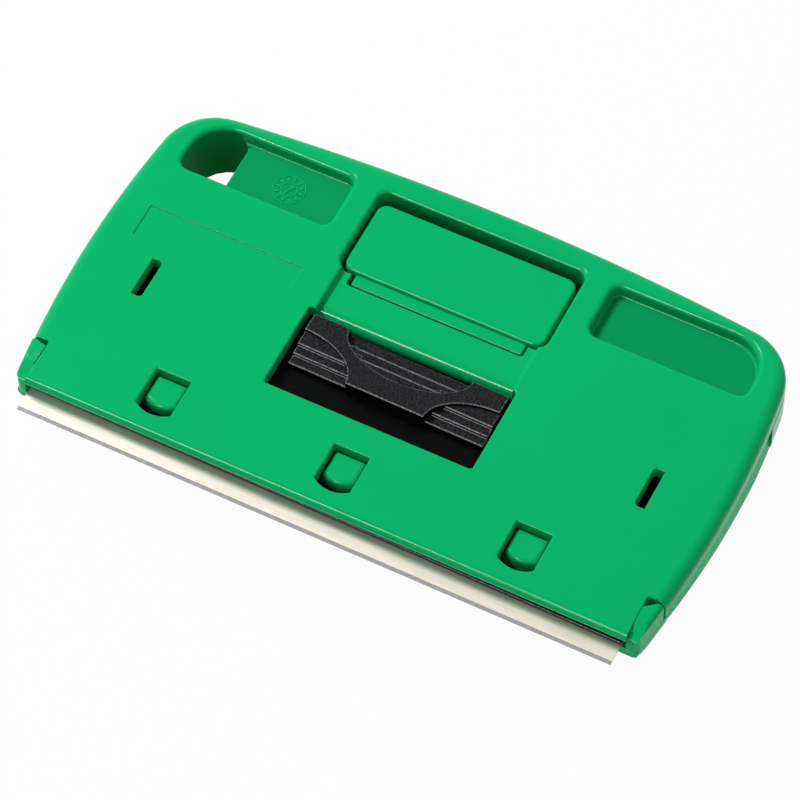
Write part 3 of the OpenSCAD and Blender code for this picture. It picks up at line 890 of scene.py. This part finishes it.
def slot_cutter(side):
    """Cutter of one narrow slot; its inner corners are round, and its outer ones nearly sharp."""
    c = cover_sizes()
    x0, x1 = side * c.slot_x - c.slot_w / 2, side * c.slot_x + c.slot_w / 2
    radii = [c.slot_r if side * corner < 0 else SHARP_CORNER for corner in (-1, 1, 1, -1)]
    outline = rounded((x0, back(c.slot_front_d)), (x1, back(c.slot_front_d + c.slot_d)), radii)
    return pocket("slot", outline, RIM, TOP, c.slot_rim)


def ear_notch(side):
    """Cutter of the notch that clears one ear."""
    c = cover_sizes()
    lip = housing_sizes().lip_w / 2
    x0, x1 = span(side, lip, 2 * lip)
    outline = rounded((x0, FRONT - FAR_OVER), (x1, back(c.notch_d)), [c.notch_rim] * 4)
    return pocket("ear notch", outline, RIM - OVER, TOP, c.notch_rim)


def plate_cutter():
    """Cutter of the bare plate, a shallow panel."""
    c = cover_sizes()
    low, high = (-c.plate_x0, back(c.plate_front_d)), (-c.plate_x1, back(c.plate_front_d + c.plate_d))
    edge = c.plate_depth / 2
    return pocket("plate", rounded(low, high, [PLATE_CORNER] * 4), TOP - c.plate_depth, TOP, edge, edge)


def make_cover():
    """The hinged cover: a rounded shell, the frames under its panel, and all its openings."""
    h, c = housing_sizes(), cover_sizes()
    under = TOP - c.panel_t
    mid = TOP - c.panel_t / 2
    recess_floor = TOP - c.recess_depth
    dish_floor = TOP - c.dish_depth
    frame_low = recess_floor - c.recess_t
    window_rear = back(c.window_front_d + c.window_d)
    opening, notch = latch_outlines()
    rest_rear = opening(0)[0][1]
    lip, rest, window_x = h.lip_w / 2, c.dish_w / 2, c.window_w / 2

    rings = [
        level(housing_outline(h.seam_chamfer, FRONT), RIM),
        level(housing_outline(0, FRONT), RIM + h.seam_chamfer),
    ]
    rings += [level(housing_outline(inset, FRONT), TOP - down) for inset, down in fillet(h.top_round)]
    cover = loft("cover", rings)
    cut(
        cover,
        prism("hollow", housing_outline(h.wall, FRONT - OVER), RIM - OVER, under),
        block("blade mouth", (-2 * lip, FRONT - OVER, RIM - OVER), (2 * lip, back(c.notch_d), under)),
        bar_x("lip edge", corner_cut((FRONT, TOP), c.lip_round, (1, -1)), -2 * lip, 2 * lip),
        bar_x("lip foot", corner_cut((FRONT, under), c.lip_foot, (1, 1)), -2 * lip, 2 * lip),
    )
    add(
        cover,
        *[prism("recess wall", recess_outline(s, c.recess_t)(0), frame_low, mid) for s in SIDES],
        prism("hole wall", recess_outline(-1, h.wall / 2, c.hang_w)(0), RIM, mid),
        *latch_frame(frame_low, mid),
        block("thumb rest", (-rest, window_rear, dish_floor - c.panel_t), (rest, rest_rear, mid)),
        *[rod("boss", c.boss_r, *span(s, lip, lip - c.boss_w), HINGE_Y, HINGE_Z) for s in SIDES],
    )
    window = rounded(
        (-window_x - c.window_shift, back(c.window_front_d)), (window_x - c.window_shift, window_rear),
        [c.window_r] * 4,
    )
    hole_x = -c.recess_x - c.recess_w + c.hang_w
    cut(
        cover,
        *[post_window(i) for i in POSTS],
        bar_y("thumb rest hollow", dish_profile(dish_floor), window_rear - OVER, rest_rear + OVER),
        pocket("thumb window", window, RIM - OVER, TOP, c.window_rim),
        bar_x("roll", corner_cut((window_rear, dish_floor), c.roll_r, (1, -1)), -rest, rest),
        *[slot_cutter(s) for s in SIDES],
        *[pocket("recess", recess_outline(s), recess_floor, TOP, c.recess_rim, c.recess_foot) for s in SIDES],
        prism("hanging hole", recess_outline(-1, SLIVER, c.hang_w)(0), RIM - OVER, TOP - c.recess_rim),
        bar_y(
            "hole rim", corner_cut((hole_x, recess_floor), c.hang_rim, (1, -1)),
            back(c.dial_d) - c.recess_d, REAR - c.rear_margin - c.recess_foot,
        ),
        pocket("latch opening", opening, RIM - OVER, TOP, c.opening_rim),
        pocket("ledge notch", notch, RIM - OVER, dish_floor, c.slot_rim),
        *[ear_notch(s) for s in SIDES],
        plate_cutter(),
    )
    only(cover, *dial_marks(recess_floor))
    bpy.ops.object.join()

    # The recess floors and the hanging hole's walls take the darker matt green: painted shade.
    def in_shaded_recess(face):
        return face.normal.z > FLOOR_NORMAL and abs(face.center.z - recess_floor) < c.dial_h / 2

    paint(cover, 1, in_shaded_recess)
    paint_hole_shade(cover, 1)
    return dress(cover, "cover", ["upper_shell"], [green_plastic(), shaded_matt_green_plastic()])


def latch_axis():
    """Y and Z of the axis that the latch turns about."""
    joint = next(j for j in frame["joints"] if j["name"] == "latch_tilt")
    return joint["pos_m"][1], joint["pos_m"][2]


def lift(y):
    """Height of the underside, which rises softly towards the front."""
    h = housing_sizes()
    fall = (SEAM - h.front_t) / h.slope_d
    behind = y - back(h.slope_d)
    if behind < -h.slope_blend:
        return -fall * behind
    if behind < h.slope_blend:
        return fall * (h.slope_blend - behind) ** 2 / (4 * h.slope_blend)
    return 0


def under_space(up=0):
    """Everything below the underside, or below a level at a distance above it."""
    h = housing_sizes()
    blend = [back(h.slope_d) + h.slope_blend * (i / STEPS - 1) for i in range(2 * STEPS + 1)]
    places = [FRONT - OVER, *blend, REAR + OVER]
    profile = [(y, lift(y) + up) for y in places] + [(REAR + OVER, -FAR_OVER), (FRONT - OVER, -FAR_OVER)]
    return bar_x("under space", profile, -ACROSS, ACROSS)


def tray_rings():
    """Rings of the lower shell's outside; its rounded lower edge gets smaller where the underside rises."""
    h = housing_sizes()
    front = back(h.seat_front_d)
    side_h = SEAM - h.seam_chamfer
    outer, inner = housing_outline(0, front), housing_outline(h.bottom_round, front)

    def ring(a):
        points = []
        for (x0, y0), (x1, y1) in zip(outer, inner):
            forward = min(max((back(h.flank_d) - y0) / (h.flank_d - h.slope_d), 0), 1)
            grown = 1 + forward * (h.flank_round / h.bottom_round - 1)
            share = grown * (1 - lift(y0) / side_h)
            inset = share * (1 - math.sin(a))
            x, y = x0 + inset * (x1 - x0), y0 + inset * (y1 - y0)
            points.append((x, y, lift(y0) + share * h.bottom_round * (1 - math.cos(a)) - UNDERLAP))
        return points

    rings = [ring(a) for a in QUARTER]
    rings += [level(outer, side_h), level(housing_outline(h.seam_chamfer, front), SEAM)]
    return [[(x, y, TRAY_FOOT) for x, y, _ in rings[0]]] + rings


def strip_cutter(side):
    """Thin crescent that sets a side strip into the housing, deepest under the seam."""
    h = housing_sizes()
    front, rear = back(h.strip_front_d), back(h.strip_front_d + h.strip_d)

    def right_side(inset):
        return [(x, min(y, rear)) for x, y in housing_outline(inset, front) if x > 0][:SIDE_STEPS]

    def crescent(inset):
        loop = right_side(inset) + right_side(-OVER)[::-1]
        return loop if side > 0 else [(-x, y) for x, y in loop[::-1]]

    return loft(
        "strip",
        [level(crescent(h.strip_foot), h.strip_low), level(crescent(h.strip_inset), SEAM + OVER)],
    )


def ear_outline(side, inset):
    """An ear seen from above: its outer front corner is round, and its outer side follows the housing."""
    h = housing_sizes()
    inner, reach, r = h.lip_w / 2 + h.ear_gap, h.side_r - inset - EAR_SET_IN, h.ear_corner
    slant = h.ear_slant if side > 0 else h.ear_slant * LEFT_SLANT_SHARE

    def side_x(y):
        return HALF_W - h.side_r + math.sqrt(reach**2 - (y - back(h.widest_d)) ** 2)

    start = FRONT + r
    corner = [(side_x(start) - r * (1 - math.sin(a)), start - r * math.cos(a)) for a in QUARTER]
    rise = [start + (back(h.ear_d) - start) * i / STEPS for i in range(1, STEPS + 1)]
    outline = [(inner, FRONT)] + corner + [(side_x(y), y) for y in rise] + [(inner, back(h.ear_d - slant))]
    return outline if side > 0 else [(-x, y) for x, y in outline[::-1]]


def make_ear(side):
    """One ear beside the lip, with its sloping nose and rounded outer edge."""
    h = housing_sizes()
    low = SEAM - h.front_t
    nose = TOP - h.ear_drop
    rings = [level(ear_outline(side, 0), low - OVER)]
    rings += [level(ear_outline(side, inset), TOP - down) for inset, down in fillet(h.ear_round)]
    ear = loft("ear", rings)
    profile = [(back(h.ear_d) + OVER, low), (back(h.ear_d) + OVER, TOP + OVER)]
    profile += [(back(h.ear_crease_d), TOP + CREASE_LIFT)]
    profile += arc((back(h.ear_nose), nose - h.ear_nose), h.ear_nose, math.pi / 2, math.pi, STEPS)
    profile += arc((back(h.ear_foot), low + h.ear_foot), h.ear_foot, math.pi, 1.5 * math.pi, STEPS)
    return keep_inside(ear, bar_x("ear nose", profile, -ACROSS, ACROSS))


def lug_place():
    """Distance from the middle to the lugs that hold the latch's foot."""
    m = works_sizes()
    return m.tongue_w / 2 + m.lug_gap + m.lug_t / 2


def paint_lit_strips(shell, slot):
    """Gives the faces of the side strips another material slot: the paler rough green, which is partly
    painted light.
    """
    h = housing_sizes()
    front, rear = back(h.strip_front_d), back(h.strip_front_d + h.strip_d)

    def in_lit_strip(face):
        x, y, z = face.center
        outside = abs(x) > STRIP_PLACE_SHARE * HALF_W and abs(face.normal.x) > STRIP_NORMAL
        return outside and front < y < rear and z > h.strip_low

    paint(shell, slot, in_lit_strip)


def make_lower_shell():
    """The lower shell: its tray and ears, and inside it the posts, rails, lugs and hole wall."""
    h, c, m = housing_sizes(), cover_sizes(), works_sizes()
    finishes = [green_plastic(), lit_rough_green_plastic(), shaded_matt_green_plastic()]
    shell = loft("lower_shell_body", tray_rings())
    cut(shell, under_space(), *[strip_cutter(s) for s in SIDES])
    paint_lit_strips(shell, 1)
    for finish in finishes:
        shell.data.materials.append(finish)
    add(shell, *[make_ear(s) for s in SIDES])
    cavity = prism("cavity", housing_outline(h.wall, back(h.seat_d)), h.floor_t / 2, SEAM + OVER)
    cut(shell, cut(cavity, under_space(h.floor_t)))

    foot_y, foot_z = latch_axis()
    lug_x, lug_r = lug_place(), m.foot_r + LUG_WALL
    post_low, post_top = SEAM - h.floor_t, TOP - h.post_drop
    rail_ends = [back(h.seat_d) - OVER, back(m.rail_end_d)]
    rail = [(y, lift(y) + h.floor_t / 2) for y in rail_ends] + [(y, BLADE[1].z) for y in rail_ends[::-1]]
    posts = [post_outline(i, 0, 0, 0, POST_CORNER) for i in POSTS]
    pieces = [cap("post", post, post_low, post_top, h.post_round) for post in posts]
    for s in SIDES:
        pieces.append(bar_x("rail", rail, s * m.rail_x - m.rail_t / 2, s * m.rail_x + m.rail_t / 2))
        x0, x1 = s * lug_x - m.lug_t / 2, s * lug_x + m.lug_t / 2
        pieces.append(rod("lug", lug_r, x0, x1, foot_y, foot_z))
        pieces.append(block("lug foot", (x0, foot_y - lug_r, h.floor_t / 2), (x1, foot_y + lug_r, foot_z)))
    pieces.append(prism("hole wall", recess_outline(-1, h.wall / 2, c.hang_w)(0), h.floor_t / 2, SEAM))
    add(shell, *pieces)

    pin_in, pin_out = h.lip_w / 2 - OVER, PIN[1].x + PIN_END_GAP
    pin_bore, foot_bore = PIN_R + BORE_GAP, m.foot_r + BORE_GAP
    cut(
        shell,
        prism("hanging hole", recess_outline(-1, 0, c.hang_w)(0), -OVER, SEAM + OVER),
        *[rod("pin bore", pin_bore, *span(s, pin_in, pin_out), HINGE_Y, HINGE_Z) for s in SIDES],
        *[
            rod("foot bore", foot_bore, s * lug_x - m.lug_t, s * lug_x + m.lug_t, foot_y, foot_z)
            for s in SIDES
        ],
    )
    # The hanging hole's walls take the darker matt green: painted shade.
    paint_hole_shade(shell, 2)
    return dress(shell, "base", ["lower_shell"], finishes)


def make_blade():
    """The blade: a strip with a ground bevel and a hole for each post."""
    m = works_sizes()
    low, high = BLADE
    bevel_y = low.y + m.bevel_d
    profile = [
        (low.y, (low.z + high.z) / 2), (bevel_y, low.z), (high.y, low.z), (high.y, high.z), (bevel_y, high.z)
    ]
    blade = bar_x("blade_strip", profile, low.x, high.x)
    paint(blade, 1, lambda face: face.center.y < bevel_y and abs(face.normal.x) < END_NORMAL)
    side = m.blade_play + m.hole_clear
    holes = [
        post_outline(i, side, m.hole_clear, m.hole_clear, POST_HOLE_CORNER, -m.blade_play)(0) for i in POSTS
    ]
    cut(blade, *[prism("post hole", hole, low.z - OVER, high.z + OVER) for hole in holes])
    return dress(blade, "base", ["blade"], [blade_steel(), ground_steel()], crease=4)


def askew(piece, angle):
    """Turns one of the guard's pieces a little within its play."""
    centre = Vector((0, (GUARD[0].y + GUARD[1].y) / 2, 0))
    turn = Matrix.Rotation(-angle, 4, "Z")
    piece.data.transform(Matrix.Translation(centre) @ turn @ Matrix.Translation(-centre))
    return piece


def make_guard():
    """The blade guard: a thin plate with a slot for each post, and a light grey front edge that is partly
    rubbed wear and partly painted highlight.
    """
    m = works_sizes()
    low, high = GUARD
    guard = block("guard_plate", low, high)
    slots = [
        post_outline(i, m.post_clear, m.post_ahead, m.travel + m.post_clear, POST_CORNER)(0) for i in POSTS
    ]
    cut(guard, *[prism("post slot", slot, low.z - OVER, high.z + OVER) for slot in slots])

    def front_edge(*ends):
        return all(abs(p.z - high.z) < NEAR and abs(p.y - low.y) < NEAR for p in ends)

    # The front edge's chamfer takes the light grey: partly wear, partly painted highlight.
    chamfer(guard, m.guard_edge, front_edge, segments=2, slot=1)
    askew(guard, m.guard_skew)
    return dress(
        guard, "guard", ["blade_guard"], [deep_black_plastic_and_shade(), worn_highlit_black_plastic()]
    )


def ellipse(centre, rx, ry, start, end, steps):
    """Points along an ellipse, angles in degrees."""
    turns = [math.radians(start + (end - start) * i / steps) for i in range(steps + 1)]
    return [(centre[0] + rx * math.cos(a), centre[1] + ry * math.sin(a)) for a in turns]


def make_thumb_grip():
    """The thumb grip: a band between three scoops, and steps with fine beads in the scoops."""
    m = works_sizes()
    low, high = GRIP
    half = high.x
    rear = high.y - m.grip_trim
    corner_x, corner_y = half - m.band_front_x, low.y + m.band_side_d
    band = [(half, rear)]
    band += ellipse((0, rear), m.band_rear_x, m.band_scoop_d, 0, -180, 2 * SCOOP_STEPS)
    band += [(-half, rear)]
    band += ellipse((-half, low.y), corner_x, m.band_side_d, 90, 0, SCOOP_STEPS)
    band += ellipse((half, low.y), corner_x, m.band_side_d, 180, 90, SCOOP_STEPS)

    # Chamfered edges take the light grey: partly rubbed wear, partly painted highlight.
    def edged(piece, z):
        return chamfer(piece, m.grip_edge, lambda p, q: abs(p.z - z) < NEAR and abs(q.z - z) < NEAR, slot=1)

    grip = edged(prism("grip_band", band, low.z, high.z), high.z)
    scoop_x, scoop_d = m.band_rear_x + STEP_OVERLAP, m.band_scoop_d + STEP_OVERLAP
    scoop = ellipse((0, rear), scoop_x, scoop_d, 0, -180, 2 * SCOOP_STEPS)
    steps = []
    for k in range(1, GRIP_STEPS + 1):
        beaded = k < GRIP_STEPS
        top = high.z - k * m.step_h
        foot = top - m.step_h + m.bead_h
        front = low.y + (GRIP_STEPS - k) * m.step_d + m.step_d * FIRST_STEP_SHARE
        for s in SIDES:
            x0, x1 = span(s, m.band_front_x, half)
            steps.append(edged(block("front step", (x0, front, low.z), (x1, corner_y, top)), top))
            if beaded:
                bead = block("bead", (x0, front - m.bead_w, low.z), (x1, front + m.bead_w, foot))
                steps.append(edged(bead, foot))
        end = rear - (GRIP_STEPS - k) * m.rear_step_d
        reach = scoop_x * math.sqrt(1 - ((rear - end) / scoop_d) ** 2)
        outline = [(reach, end)] + [(x, y) for x, y in scoop if y < end] + [(-reach, end)]
        steps.append(edged(prism("rear step", outline, low.z, top), top))
        if beaded:
            ridge = top + m.bead_h
            bead = block("rear bead", (-reach, end - 2 * m.bead_w, low.z), (reach, end - m.bead_w / 2, ridge))
            steps.append(edged(bead, ridge))
    add(grip, *steps)
    # The grip's steep faces take the deep black: painted shade on its risers and sides.
    paint(grip, 2, lambda face: face.material_index == 0 and abs(face.normal.z) < STEEP_NORMAL)
    askew(grip, m.grip_skew)
    return dress(
        grip, "guard", ["thumb_grip"],
        [black_plastic(), worn_highlit_black_plastic(), deep_black_plastic_and_shade()], crease=20,
    )


def make_release_button():
    """The latch: its push button, ledge, tongue and round foot."""
    m = works_sizes()
    low, high = BUTTON
    front = high.y - m.button_d
    foot_y, foot_z = latch_axis()
    half, ledge_x, tongue_x = m.button_w / 2, m.ledge_w / 2, m.tongue_w / 2
    ledge_top = high.z - m.ledge_step
    reach = lug_place() + m.lug_t / 2 + m.foot_r / 2
    button = cap(
        "push_button", rounded((-half, front), (half, high.y), [m.button_r] * 4),
        high.z - m.button_t, high.z, m.button_round,
    )
    ledge = rounded((-ledge_x, low.y), (ledge_x, front + m.button_r), [m.ledge_round] * 4)
    add(
        button,
        cap("ledge", ledge, ledge_top - m.ledge_t, ledge_top, m.ledge_round),
        block(
            "tongue", (-tongue_x, foot_y - m.tongue_t / 2, foot_z),
            (tongue_x, foot_y + m.tongue_t / 2, high.z - m.button_t / 2),
        ),
        rod("foot", m.foot_r, -reach, reach, foot_y, foot_z),
    )
    return dress(button, "latch", ["release_button"], [green_plastic()])


def make_hinge_pin(side):
    """One hinge pin with chamfered ends."""
    name = "hinge_pin_right" if side > 0 else "hinge_pin_left"
    low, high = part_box(name)
    pin = rod("pin_" + ("right" if side > 0 else "left"), PIN_R, low.x, high.x, HINGE_Y, HINGE_Z)

    def end_edge(p, q):
        return abs(p.x - q.x) < NEAR and min(abs(p.x - low.x), abs(p.x - high.x)) < NEAR

    chamfer(pin, PIN_R * PIN_CHAMFER_SHARE, end_edge, segments=2)
    return dress(pin, "cover", [name], [blade_steel()])


# Stage

CAMERA_PLACE = (0.180895, -0.331372, 0.597487)
CAMERA_RIGHT = (0.890760, 0.454046, -0.019731)
CAMERA_UP = (-0.374362, 0.757664, 0.534601)
CAMERA_BACK = (0.257683, -0.468814, 0.844874)
CAMERA_LENS = 206.646
CAMERA_SENSOR = 36
FLOOR_SIZE = 6
FLOOR_DROP = 0.02 * MM
FLOOR_WHITE_SHARE = 0.97
WORLD_STRENGTH = 0.38
KEY_PLACE = (-0.60, 0.15, 0.90)
KEY_EXTENT = (0.3, 0.3)
KEY_WATTS = 9.8
GLINT_PLACE = (-0.30, -0.74, 0.76)
GLINT_EXTENT = (0.28, 0.1)
GLINT_WATTS = 18


def seen_directly(tree):
    """1 for what the camera sees, straight on or in a mirror or a pane."""
    rays = add_node(tree, "LightPath", {}).outputs
    seen = rays["Is Camera Ray"]
    for ray in ("Is Glossy Ray", "Is Transmission Ray"):
        seen = add_node(tree, "Math", {0: seen, 1: rays[ray]}, operation="MAXIMUM").outputs["Value"]
    return seen


def floor_material():
    """Pale floor that shows white to the camera and keeps a soft shadow."""
    material, tree, shader = new_material("pale floor")
    fill(tree, shader, {"Base Color": (*colours().floor, 1), "Roughness": 1, "Specular IOR Level": 0})
    seen = {0: seen_directly(tree), 1: FLOOR_WHITE_SHARE}
    share = add_node(tree, "Math", seen, operation="MULTIPLY").outputs["Value"]
    white = add_node(tree, "Emission", {"Strength": 1}).outputs["Emission"]
    mix = add_node(tree, "MixShader", {0: share, 1: shader.outputs["BSDF"], 2: white})
    fill(tree, tree.nodes["Material Output"], {"Surface": mix.outputs["Shader"]})
    return material


def make_world():
    """Dim even light all round, and a white background for what is seen directly."""
    world = bpy.data.worlds.new("studio")
    bpy.context.scene.world = world
    world.use_nodes = True
    tree = world.node_tree
    light = fill(tree, tree.nodes["Background"], {"Color": (1, 1, 1, 1), "Strength": WORLD_STRENGTH})
    white = add_node(tree, "Background", {"Color": (1, 1, 1, 1), "Strength": 1})
    both = {1: light.outputs["Background"], 2: white.outputs["Background"]}
    mix = add_node(tree, "MixShader", {0: seen_directly(tree), **both})
    fill(tree, tree.nodes["World Output"], {"Surface": mix.outputs["Shader"]})


def softbox(name, place, extent, watts, mirrored_only=False):
    """A rectangular lamp that faces the object; it may show in glossy edges only and add no other light."""
    lamp = bpy.data.lights.new(name, "AREA")
    lamp.shape = "RECTANGLE"
    lamp.size, lamp.size_y = extent
    lamp.energy = watts
    lamp_object = bpy.data.objects.new(name, lamp)
    bpy.context.scene.collection.objects.link(lamp_object)
    lamp_object.visible_diffuse = not mirrored_only
    lamp_object.location = place
    lamp_object.rotation_euler = (-Vector(place)).to_track_quat("-Z", "Y").to_euler()


def make_camera():
    """The camera, fitted to the photo."""
    data = bpy.data.cameras.new("photo view")
    data.lens = CAMERA_LENS
    data.sensor_width = CAMERA_SENSOR
    camera = bpy.data.objects.new("photo view", data)
    bpy.context.scene.collection.objects.link(camera)
    turn = Matrix((CAMERA_RIGHT, CAMERA_UP, CAMERA_BACK)).transposed().to_4x4()
    camera.matrix_world = Matrix.Translation(CAMERA_PLACE) @ turn
    bpy.context.scene.camera = camera


def make_stage():
    """Camera, world, floor and lamps."""
    make_camera()
    make_world()
    only()
    bpy.ops.mesh.primitive_plane_add(size=FLOOR_SIZE, location=(0, 0, -FLOOR_DROP))
    floor = bpy.context.object
    floor.name = "floor"
    floor.data.materials.append(floor_material())
    softbox("key", KEY_PLACE, KEY_EXTENT, KEY_WATTS)
    softbox("glint", GLINT_PLACE, GLINT_EXTENT, GLINT_WATTS, mirrored_only=True)
    bpy.context.scene.view_settings.view_transform = "Standard"


# Operators


class SCRAPER_OT_stage(bpy.types.Operator):
    """Set up the camera, the soft lamps and the pale floor"""

    bl_idname = "scraper.stage"
    bl_label = "Stage"

    def execute(self, context):
        make_stage()
        return {"FINISHED"}


class SCRAPER_OT_lower_shell(bpy.types.Operator):
    """Model the lower shell with its posts, ears and rough side strips"""

    bl_idname = "scraper.lower_shell"
    bl_label = "Lower shell"

    def execute(self, context):
        make_lower_shell()
        return {"FINISHED"}


class SCRAPER_OT_cover(bpy.types.Operator):
    """Model the hinged cover with its windows, recesses and thumb rest"""

    bl_idname = "scraper.cover"
    bl_label = "Cover"

    def execute(self, context):
        make_cover()
        return {"FINISHED"}


class SCRAPER_OT_hinge_pins(bpy.types.Operator):
    """Model the two hinge pins"""

    bl_idname = "scraper.hinge_pins"
    bl_label = "Hinge pins"

    def execute(self, context):
        for side in SIDES:
            make_hinge_pin(side)
        return {"FINISHED"}


class SCRAPER_OT_blade(bpy.types.Operator):
    """Model the ground steel blade"""

    bl_idname = "scraper.blade"
    bl_label = "Blade"

    def execute(self, context):
        make_blade()
        return {"FINISHED"}


class SCRAPER_OT_guard(bpy.types.Operator):
    """Model the black blade guard"""

    bl_idname = "scraper.guard"
    bl_label = "Blade guard"

    def execute(self, context):
        make_guard()
        return {"FINISHED"}


class SCRAPER_OT_thumb_grip(bpy.types.Operator):
    """Model the stepped thumb grip"""

    bl_idname = "scraper.thumb_grip"
    bl_label = "Thumb grip"

    def execute(self, context):
        make_thumb_grip()
        return {"FINISHED"}


class SCRAPER_OT_release_button(bpy.types.Operator):
    """Model the push button with its ledge, tongue and foot"""

    bl_idname = "scraper.release_button"
    bl_label = "Release button"

    def execute(self, context):
        make_release_button()
        return {"FINISHED"}


OPERATORS = (
    SCRAPER_OT_stage, SCRAPER_OT_lower_shell, SCRAPER_OT_cover, SCRAPER_OT_hinge_pins,
    SCRAPER_OT_blade, SCRAPER_OT_guard, SCRAPER_OT_thumb_grip, SCRAPER_OT_release_button,
)
GROUPS = {
    "scraper_housing": ScraperHousing,
    "scraper_cover": ScraperCover,
    "scraper_mechanism": ScraperMechanism,
    "scraper_colours": ScraperColours,
}


class SCRAPER_PT_panel(bpy.types.Panel):
    """Lists the scraper's pieces and colours"""

    bl_idname = "SCRAPER_PT_panel"
    bl_label = "Razor scraper"
    bl_space_type = "VIEW_3D"
    bl_region_type = "UI"
    bl_category = "Scraper"

    def draw(self, context):
        for operator in OPERATORS:
            self.layout.operator(operator.bl_idname)
        for name in ScraperColours.__annotations__:
            self.layout.prop(context.scene.scraper_colours, name)


def register():
    for cls in (*GROUPS.values(), *OPERATORS, SCRAPER_PT_panel):
        bpy.utils.register_class(cls)
    for name, group in GROUPS.items():
        setattr(bpy.types.Scene, name, PointerProperty(type=group))


def unregister():
    for name in GROUPS:
        delattr(bpy.types.Scene, name)
    for cls in (SCRAPER_PT_panel, *reversed(OPERATORS), *reversed(GROUPS.values())):
        bpy.utils.unregister_class(cls)


def main():
    register()
    bpy.ops.scraper.stage()
    bpy.ops.scraper.lower_shell()
    bpy.ops.scraper.cover()
    bpy.ops.scraper.hinge_pins()
    bpy.ops.scraper.blade()
    bpy.ops.scraper.guard()
    bpy.ops.scraper.thumb_grip()
    bpy.ops.scraper.release_button()


if __name__ == "__main__":
    main()
